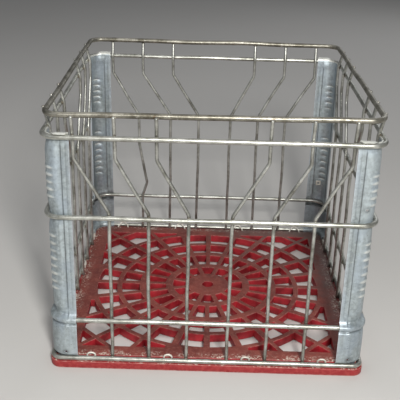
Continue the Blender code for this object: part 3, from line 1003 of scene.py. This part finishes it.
def wire_material(name, pale, dull, grime_and_shade, rust_share, metallic, roughness):
    """Old galvanised wire: pale zinc worn to grey, with dirt and rust at the welds."""
    n = Nodes(name)
    blotches = n.ramp(n.noise(45, 5.0, 0.68), 0.30, 0.70)
    colour = n.mix(blotches, linear(*dull), linear(*pale))
    # flecks of dirt on the wire
    flecks = n.ramp(n.noise(520, 3.0, 0.6, (0.3, 0.1, 0.7)), 0.55, 0.75)
    colour = n.tint(colour, grime_and_shade, flecks, 0.45)
    chalk = n.ramp(n.noise(170, 4.0, 0.65, (1.3, 0.4, 0.2)), 0.56, 0.74)
    colour = n.tint(colour, (220, 219, 210), chalk, 0.40)
    ragged = n.math("SUBTRACT", n.noise(330, 4.0, 0.7), 0.5)
    patch = n.ramp(n.math("ADD", n.attribute("weld"), ragged), 0.45, 0.95)
    rust = n.mix(n.noise(600, 2.0), linear(78, 56, 38), linear(128, 98, 72))
    colour = n.mix(n.times(patch, rust_share), colour, rust)
    rough = n.math("ADD", n.times(n.noise(160, 3.0), 0.30), roughness - 0.15)
    rough = n.math("ADD", rough, n.times(patch, 0.15))
    normal = n.bump(n.noise(900, 3.0, 0.6), 0.00018, 0.35)
    normal = n.bump(n.noise(240, 2.0, 0.5, (0.6, 0.2, 0.9)), 0.0004, 0.22, normal)
    return n.finish(colour, rough, metallic, normal)


def sheet_material():
    """Galvanised sheet with mottled spangle, chalky zinc and dark specks, painted shade in the
    groove and along the step, and painted highlights on the edges, the lip and the ribs.
    """
    n = Nodes("galvanised_sheet")
    cells = n.add("ShaderNodeTexVoronoi", {"Vector": n.place, "Scale": 420.0, "Randomness": 1.0},
                  feature="F1")
    tone = n.add("ShaderNodeSeparateColor", {"Color": cells.outputs["Color"]}).outputs["Red"]
    grain = n.noise(260, 4.0, 0.65, (0.2, 0.5, 0.1))
    cloud = n.noise(60, 4.0, 0.6, (0.7, 0.1, 0.4), (1.0, 1.0, 0.12))
    shade = n.math("ADD", n.times(tone, 0.12), n.times(grain, 0.30))
    shade = n.ramp(n.math("ADD", shade, n.times(cloud, 0.60)), 0.32, 0.72)
    colour = n.mix(shade, linear(138, 146, 148), linear(186, 197, 201))
    blue = n.ramp(n.noise(70, 2.0, 0.5, (0.9, 0.9, 0.3), (1.0, 1.0, 0.5)), 0.42, 0.68)
    colour = n.tint(colour, (160, 174, 190), blue, 0.35)
    chalk = n.ramp(n.noise(190, 4.0, 0.7, (0.1, 0.6, 0.8)), 0.58, 0.74)
    colour = n.tint(colour, (206, 210, 204), chalk, 0.22)
    streak = n.ramp(n.noise(170, 3.0, 0.6, (0.4, 0.4, 0.6), (1.0, 1.0, 0.07)), 0.50, 0.72)
    colour = n.tint(colour, (104, 108, 104), streak, 0.30)
    specks = n.ramp(n.noise(620, 2.0, 0.5, (0.5, 0.2, 0.2)), 0.66, 0.74)
    colour = n.tint(colour, (66, 62, 56), specks, 0.45)
    # painted highlight along the free edges of the flanges
    colour = n.tint(colour, (206, 212, 218), n.attribute("edge"), 0.45)
    # painted shade in the groove, along the step and the fine line, and round the holes
    colour = n.tint(colour, (44, 43, 38), n.attribute("painted_shade"), 0.85)
    # painted highlight on the rolled lip
    colour = n.tint(colour, (222, 222, 214), n.attribute("lip"), 0.80)
    # painted highlight on the ribs, uneven with the grain
    rib_highlight = n.math("ADD", n.times(grain, 0.7), 0.3)
    colour = n.tint(colour, (226, 228, 222), n.ramp(n.attribute("rib"), 0.25, 0.75), rib_highlight)
    rough = n.math("ADD", n.times(tone, 0.10), n.times(grain, 0.20))
    rough = n.math("ADD", rough, 0.30)
    normal = n.bump(tone, 0.00008, 0.20)
    normal = n.bump(n.noise(700, 3.0, 0.6), 0.00015, 0.25, normal)
    normal = n.bump(n.noise(110, 2.0, 0.5, (0.3, 0.8, 0.5)), 0.0004, 0.18, normal)
    return n.finish(colour, rough, SHEET_METALLIC, normal)


def plastic_material():
    """Faded red moulded plastic: dull on top, brighter in the openings, scuffed at the edges."""
    n = Nodes("faded_red_plastic")
    geometry = n.add("ShaderNodeNewGeometry")
    up = n.add("ShaderNodeSeparateXYZ", {"Vector": geometry.outputs["Normal"]}).outputs["Z"]
    x, y, z = n.add("ShaderNodeSeparateXYZ", {"Vector": n.place}).outputs
    outwards = n.math("MAXIMUM", n.math("ABSOLUTE", x), n.math("ABSOLUTE", y))
    cloud = n.noise(26, 4.0, 0.6, (0.2, 0.2, 0.2))
    fade = n.mix(n.ramp(cloud, 0.35, 0.65), linear(102, 42, 35), linear(130, 61, 51))
    fine = n.noise(300, 4.0, 0.65, (0.4, 0.1, 0.3))
    fade = n.tint(fade, (160, 104, 92), n.ramp(fine, 0.45, 0.68), 0.35)
    deep = n.mix(n.ramp(n.noise(60, 3.0), 0.35, 0.65), linear(122, 14, 24), linear(168, 34, 44))
    top = n.ramp(up, 0.55, 0.92)
    colour = n.mix(top, deep, fade)
    # the ledge under the hoop is faded less than the grille
    side = n.mix(n.ramp(fine, 0.40, 0.66), linear(142, 32, 36), linear(164, 60, 58))
    colour = n.mix(n.times(n.ramp(outwards, 0.1570, 0.1600), 0.9), colour, side)
    # rounded edges are scuffed pale
    slope = n.times(n.ramp(up, 0.12, 0.40), n.math("SUBTRACT", 1.0, n.ramp(up, 0.80, 0.98)))
    scuff = n.ramp(n.noise(220, 4.0, 0.7, (0.8, 0.3, 0.1)), 0.38, 0.60)
    colour = n.tint(colour, (190, 138, 128), slope, scuff, 0.75)
    scratch = n.ramp(n.noise(90, 4.0, 0.75, (0.1, 0.9, 0.6), (1.0, 7.0, 1.0)), 0.60, 0.70)
    colour = n.tint(colour, (178, 132, 118), scratch, top, 0.30)
    # zinc and old paint are speckled along the hoop
    broad = n.times(n.noise(70, 2.0, 0.5, (0.3, 0.9, 0.1)), 0.4)
    speckle = n.math("ADD", n.noise(420, 3.0, 0.6, (0.7, 0.7, 0.1)), broad)
    colour = n.tint(colour, (206, 192, 178), n.ramp(speckle, 0.72, 0.86), top,
                    n.ramp(outwards, 0.1440, 0.1560))
    # grime lies thickest towards the right of the back
    corner = n.math("ADD", n.times(x, 2.2), n.times(y, 1.6))
    dirt = n.ramp(n.math("ADD", n.noise(45, 5.0, 0.7, (0.6, 0.6, 0.9)), corner), 0.62, 1.10)
    colour = n.tint(colour, (100, 86, 80), dirt, top, 0.75)
    low = n.math("SUBTRACT", 1.0, n.ramp(z, 0.0, 0.0018))
    colour = n.tint(colour, (206, 150, 142), low, scuff, 0.6)
    rough = n.math("ADD", n.times(fine, 0.30), 0.42)
    normal = n.bump(fine, 0.0003, 0.35)
    normal = n.bump(n.noise(70, 3.0, 0.6), 0.0008, 0.25, normal)
    return n.finish(colour, rough, 0.0, normal)


def make_materials():
    made = {name.split("_")[0]: wire_material(name, *look) for name, look in WIRE_LOOKS.items()}
    made["sheet"] = sheet_material()
    made["plastic"] = plastic_material()
    return made


# --- floor, light and camera ---

def area_light(name, place, size, watts, colour):
    light = bpy.data.lights.new(name, "AREA")
    light.shape = "DISK"
    light.size = size
    light.energy = watts
    light.color = colour
    lamp = add_object(name, light)
    lamp.location = place
    aim = Vector(LIGHT_TARGET) - Vector(place)
    lamp.rotation_euler = aim.to_track_quat("-Z", "Y").to_euler()


def make_stage():
    mesh = bpy.data.meshes.new("studio_floor")
    r = FLOOR_REACH
    mesh.from_pydata([(-r, -r, 0), (r, -r, 0), (r, r, 0), (-r, r, 0)], [], [(0, 1, 2, 3)])
    n = Nodes("studio_floor")
    first, second = FLOOR_TONES
    mesh.materials.append(n.finish(n.mix(n.noise(3.0), linear(*first), linear(*second)), 0.85, 0.0,
                                   n.bump(n.noise(200, 2.0), 0.0001, 0.1)))
    add_object("studio_floor", mesh)
    for name, settings in LIGHTS.items():
        area_light(name, *settings)
    world = bpy.data.worlds.new("studio")
    world.use_nodes = True
    background = world.node_tree.nodes["Background"]
    background.inputs["Color"].default_value = WORLD_COLOUR
    background.inputs["Strength"].default_value = WORLD_STRENGTH
    bpy.context.scene.world = world
    bpy.context.scene.view_settings.view_transform = "Standard"


def make_camera():
    pitch, roll = CAMERA_PITCH, CAMERA_ROLL
    level = Vector((-math.sin(CAMERA_YAW), math.cos(CAMERA_YAW), 0.0))
    right = Vector((level.y, -level.x, 0.0))
    ahead = level * math.cos(pitch) - Vector((0.0, 0.0, math.sin(pitch)))
    up = right.cross(ahead)
    tilted_right = math.cos(roll) * right + math.sin(roll) * up
    tilted_up = math.cos(roll) * up - math.sin(roll) * right
    camera = bpy.data.cameras.new("camera")
    camera.sensor_width = CAMERA_SENSOR
    camera.lens = CAMERA_LENS
    camera.clip_start = 0.05
    eye = add_object("camera", camera)
    turn = Matrix((tilted_right, tilted_up, -ahead)).transposed()
    eye.matrix_world = Matrix.Translation(CAMERA_PLACE) @ turn.to_4x4()
    bpy.context.scene.camera = eye


def main():
    materials = make_materials()
    make_wires(materials)
    make_posts(materials)
    make_staples(materials)
    make_floor(materials)
    make_tab(materials)
    make_stage()
    make_camera()


main()
